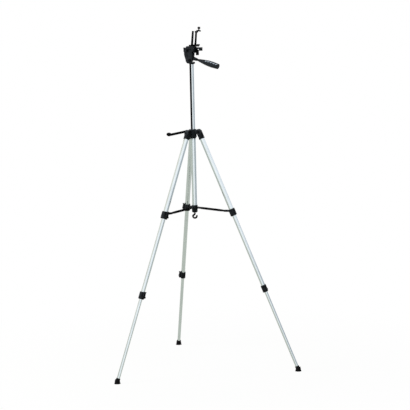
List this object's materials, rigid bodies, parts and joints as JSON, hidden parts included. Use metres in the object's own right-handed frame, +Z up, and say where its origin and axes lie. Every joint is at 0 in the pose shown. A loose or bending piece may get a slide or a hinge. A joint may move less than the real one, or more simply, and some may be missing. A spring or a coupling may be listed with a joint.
{
  "type": "camera tripod",
  "caption": "Folding camera tripod with telescoping legs, sliding strut spreader, geared centre column with crank, pan and tilt head with handle, and a phone clamp.",
  "frame": {"origin": "on the floor, on the axis of the centre column", "axes": "+Z up, +X along the pan handle, +Y to its left"},
  "size_m": [0.8521, 0.8803, 1.6346],
  "materials": {
    "silver_tube": "satin anodised",
    "black_plastic": "fine moulded grain",
    "foot_rubber": "matt",
    "black_steel": "black oxide",
    "bright_steel": "zinc plated"
  },
  "bodies": {
    "frame": {"crown": "black_plastic", "leg_pivot_pins": "black_steel", "guide_tube": "silver_tube", "end_cap": "black_plastic"},
    "hook": {"weight_hook": "black_steel"},
    "column_lock": {"column_lock_knob": "black_plastic"},
    "column": {"column_tube": "silver_tube", "column_rack": "black_plastic", "column_plug": "black_plastic"},
    "crank": {"pinion_shaft": "bright_steel", "crank_arm": "black_plastic"},
    "crank_knob": {"crank_knob": "black_plastic"},
    "hub": {"spreader_hub": "black_plastic", "hub_pins": "bright_steel"},
    "left_leg": {"left_leg_joint": "black_plastic", "left_upper_tube": "silver_tube", "left_upper_collar": "black_plastic"},
    "left_upper_lever": {"left_upper_lever": "black_plastic"},
    "left_middle": {"left_middle_tube": "silver_tube", "left_lower_lock": "black_plastic"},
    "left_lower_lever": {"left_lower_lever": "black_plastic"},
    "left_lower": {"left_lower_tube": "silver_tube", "left_foot": "foot_rubber"},
    "left_strut": {"left_strut": "black_plastic"},
    "right_leg": {"right_leg_joint": "black_plastic", "right_upper_tube": "silver_tube", "right_upper_collar": "black_plastic"},
    "right_upper_lever": {"right_upper_lever": "black_plastic"},
    "right_middle": {"right_middle_tube": "silver_tube", "right_lower_lock": "black_plastic"},
    "right_lower_lever": {"right_lower_lever": "black_plastic"},
    "right_lower": {"right_lower_tube": "silver_tube", "right_foot": "foot_rubber"},
    "right_strut": {"right_strut": "black_plastic"},
    "rear_leg": {"rear_leg_joint": "black_plastic", "rear_upper_tube": "silver_tube", "rear_upper_collar": "black_plastic"},
    "rear_upper_lever": {"rear_upper_lever": "black_plastic"},
    "rear_middle": {"rear_middle_tube": "silver_tube", "rear_lower_lock": "black_plastic"},
    "rear_lower_lever": {"rear_lower_lever": "black_plastic"},
    "rear_lower": {"rear_lower_tube": "silver_tube", "rear_foot": "foot_rubber"},
    "rear_strut": {"rear_strut": "black_plastic"},
    "pan": {"pan_base": "black_plastic", "tilt_axle": "black_steel"},
    "pan_lock": {"pan_lock_knob": "black_plastic"},
    "tilt": {"tilt_body": "black_plastic", "flip_hinge_pin": "bright_steel"},
    "handle": {"handle_rod": "black_steel", "handle_grip": "black_plastic"},
    "platform": {"flip_platform": "black_plastic", "quick_plate": "black_plastic", "quick_pad": "foot_rubber"},
    "flip_lock": {"flip_lock_lever": "black_plastic"},
    "quick_lever": {"quick_lever": "black_plastic"},
    "camera_screw": {"camera_screw": "bright_steel"},
    "clamp": {"clamp_frame": "black_plastic"},
    "clamp_jaw": {"clamp_jaw": "black_plastic"},
    "clamp_screw": {"clamp_screw": "black_plastic"}
  },
  "joints": [
    {"name": "hook_swivel", "type": "hinge", "parent": "frame", "child": "hook", "pos_m": [0, 0, 0.774], "axis": [0, 0, 1], "continuous": true},
    {"name": "column_lock_turn", "type": "hinge", "parent": "frame", "child": "column_lock", "pos_m": [0.01116, 0.03317, 1.138], "axis": [0.319, 0.9478, 0], "range_deg": [0, 360]},
    {"name": "column_rise", "type": "slide", "parent": "frame", "child": "column", "axis": [0, 0, 1], "range_m": [-0.295, 0]},
    {"name": "crank_turn", "type": "hinge", "parent": "frame", "child": "crank", "pos_m": [-0.00373, -0.01109, 1.138], "axis": [-0.9478, 0.319, 0], "range_deg": [0, 4226.6]},
    {"name": "crank_knob_spin", "type": "hinge", "parent": "crank", "child": "crank_knob", "pos_m": [-0.10521, -0.0477, 1.12678], "axis": [-0.9478, 0.319, 0], "continuous": true},
    {"name": "hub_slide", "type": "slide", "parent": "frame", "child": "hub", "axis": [0, 0, 1], "range_m": [0, 0.1003]},
    {"name": "left_fold", "type": "hinge", "parent": "frame", "child": "left_leg", "pos_m": [-0.00963, -0.02862, 1.138], "axis": [0.9478, -0.319, 0], "range_deg": [0, 19]},
    {"name": "left_middle_slide", "type": "slide", "parent": "left_leg", "child": "left_middle", "axis": [0.1228, 0.3648, 0.9229], "range_m": [0, 0.34]},
    {"name": "left_lower_slide", "type": "slide", "parent": "left_middle", "child": "left_lower", "axis": [0.1228, 0.3648, 0.9229], "range_m": [0, 0.34]},
    {"name": "left_upper_lever_flip", "type": "hinge", "parent": "left_leg", "child": "left_upper_lever", "pos_m": [-0.0436, -0.18834, 0.74907], "axis": [0.2944, 0.8747, -0.3849], "range_deg": [0, 100]},
    {"name": "left_lower_lever_flip", "type": "hinge", "parent": "left_middle", "child": "left_lower_lever", "pos_m": [-0.09366, -0.33112, 0.38636], "axis": [0.2944, 0.8747, -0.3849], "range_deg": [0, 100]},
    {"name": "left_strut_swing", "type": "hinge", "parent": "hub", "child": "left_strut", "pos_m": [-0.00606, -0.01801, 0.774], "axis": [0.9478, -0.319, 0], "range_deg": [0, 84.2]},
    {"name": "right_fold", "type": "hinge", "parent": "frame", "child": "right_leg", "pos_m": [0.0296, 0.00597, 1.138], "axis": [-0.1977, 0.9803, 0], "range_deg": [0, 19]},
    {"name": "right_middle_slide", "type": "slide", "parent": "right_leg", "child": "right_middle", "axis": [-0.3773, -0.0761, 0.9229], "range_m": [0, 0.34]},
    {"name": "right_lower_slide", "type": "slide", "parent": "right_middle", "child": "right_lower", "axis": [-0.3773, -0.0761, 0.9229], "range_m": [0, 0.34]},
    {"name": "right_upper_lever_flip", "type": "hinge", "parent": "right_leg", "child": "right_upper_lever", "pos_m": [0.18491, 0.05641, 0.74907], "axis": [-0.9047, -0.1824, -0.3849], "range_deg": [0, 100]},
    {"name": "right_lower_lever_flip", "type": "hinge", "parent": "right_middle", "child": "right_lower_lever", "pos_m": [0.33358, 0.08445, 0.38636], "axis": [-0.9047, -0.1824, -0.3849], "range_deg": [0, 100]},
    {"name": "right_strut_swing", "type": "hinge", "parent": "hub", "child": "right_strut", "pos_m": [0.01862, 0.00376, 0.774], "axis": [-0.1977, 0.9803, 0], "range_deg": [0, 84.2]},
    {"name": "rear_fold", "type": "hinge", "parent": "frame", "child": "rear_leg", "pos_m": [-0.01997, 0.02265, 1.138], "axis": [-0.7501, -0.6613, 0], "range_deg": [0, 19]},
    {"name": "rear_middle_slide", "type": "slide", "parent": "rear_leg", "child": "rear_middle", "axis": [0.2546, -0.2887, 0.9229], "range_m": [0, 0.34]},
    {"name": "rear_lower_slide", "type": "slide", "parent": "rear_middle", "child": "rear_lower", "axis": [0.2546, -0.2887, 0.9229], "range_m": [0, 0.34]},
    {"name": "rear_upper_lever_flip", "type": "hinge", "parent": "rear_leg", "child": "rear_upper_lever", "pos_m": [-0.14131, 0.13193, 0.74907], "axis": [0.6104, -0.6923, -0.3849], "range_deg": [0, 100]},
    {"name": "rear_lower_lever_flip", "type": "hinge", "parent": "rear_middle", "child": "rear_lower_lever", "pos_m": [-0.23993, 0.24667, 0.38636], "axis": [0.6104, -0.6923, -0.3849], "range_deg": [0, 100]},
    {"name": "rear_strut_swing", "type": "hinge", "parent": "hub", "child": "rear_strut", "pos_m": [-0.01256, 0.01425, 0.774], "axis": [-0.7501, -0.6613, 0], "range_deg": [0, 84.2]},
    {"name": "pan_turn", "type": "hinge", "parent": "column", "child": "pan", "pos_m": [0, 0, 1.46535], "axis": [0, 0, 1], "continuous": true},
    {"name": "pan_lock_turn", "type": "hinge", "parent": "pan", "child": "pan_lock", "pos_m": [0.0155, 0, 1.46535], "axis": [1, 0, 0], "range_deg": [0, 360]},
    {"name": "head_tilt", "type": "hinge", "parent": "pan", "child": "tilt", "pos_m": [0, -0.0076, 1.4775], "axis": [0, -1, 0], "range_deg": [-20, 85]},
    {"name": "handle_twist", "type": "hinge", "parent": "tilt", "child": "handle", "pos_m": [0.07682, -0.005, 1.46768], "axis": [0.9603, 0, -0.279], "range_deg": [-180, 180]},
    {"name": "portrait_flip", "type": "hinge", "parent": "tilt", "child": "platform", "pos_m": [0, -0.0236, 1.5328], "axis": [1, 0, 0], "range_deg": [0, 90]},
    {"name": "flip_lock_turn", "type": "hinge", "parent": "tilt", "child": "flip_lock", "pos_m": [0.029, 0.004, 1.5237], "axis": [1, 0, 0], "range_deg": [0, 90]},
    {"name": "quick_lever_swing", "type": "hinge", "parent": "platform", "child": "quick_lever", "pos_m": [0.033, 0, 1.5338], "axis": [0, 0, 1], "range_deg": [0, 60]},
    {"name": "camera_screw_turn", "type": "hinge", "parent": "platform", "child": "camera_screw", "pos_m": [0, 0, 1.5378], "axis": [0, 0, 1], "continuous": true},
    {"name": "clamp_swivel", "type": "hinge", "parent": "platform", "child": "clamp", "pos_m": [0, 0, 1.5443], "axis": [0, 0, 1], "continuous": true},
    {"name": "clamp_jaw_slide", "type": "slide", "parent": "clamp", "child": "clamp_jaw", "axis": [-0.0475, -0.0731, -0.9962], "range_m": [0, 0.045]},
    {"name": "clamp_screw_turn", "type": "hinge", "parent": "clamp_jaw", "child": "clamp_screw", "pos_m": [0.03248, 0.01879, 1.61637], "axis": [0.0475, 0.0731, 0.9962], "range_deg": [-180, 180]}
  ],
  "couplings": [
    {"joint": "crank_turn", "follows": "column_rise", "rad_per_m": -250},
    {"joint": "hub_slide", "follows": "left_fold", "m_per_rad": 0.30186},
    {"joint": "left_strut_swing", "follows": "left_fold", "ratio": 4.4184},
    {"joint": "right_fold", "follows": "left_fold", "ratio": 1},
    {"joint": "right_strut_swing", "follows": "left_fold", "ratio": 4.4184},
    {"joint": "rear_fold", "follows": "left_fold", "ratio": 1},
    {"joint": "rear_strut_swing", "follows": "left_fold", "ratio": 4.4184}
  ]
}
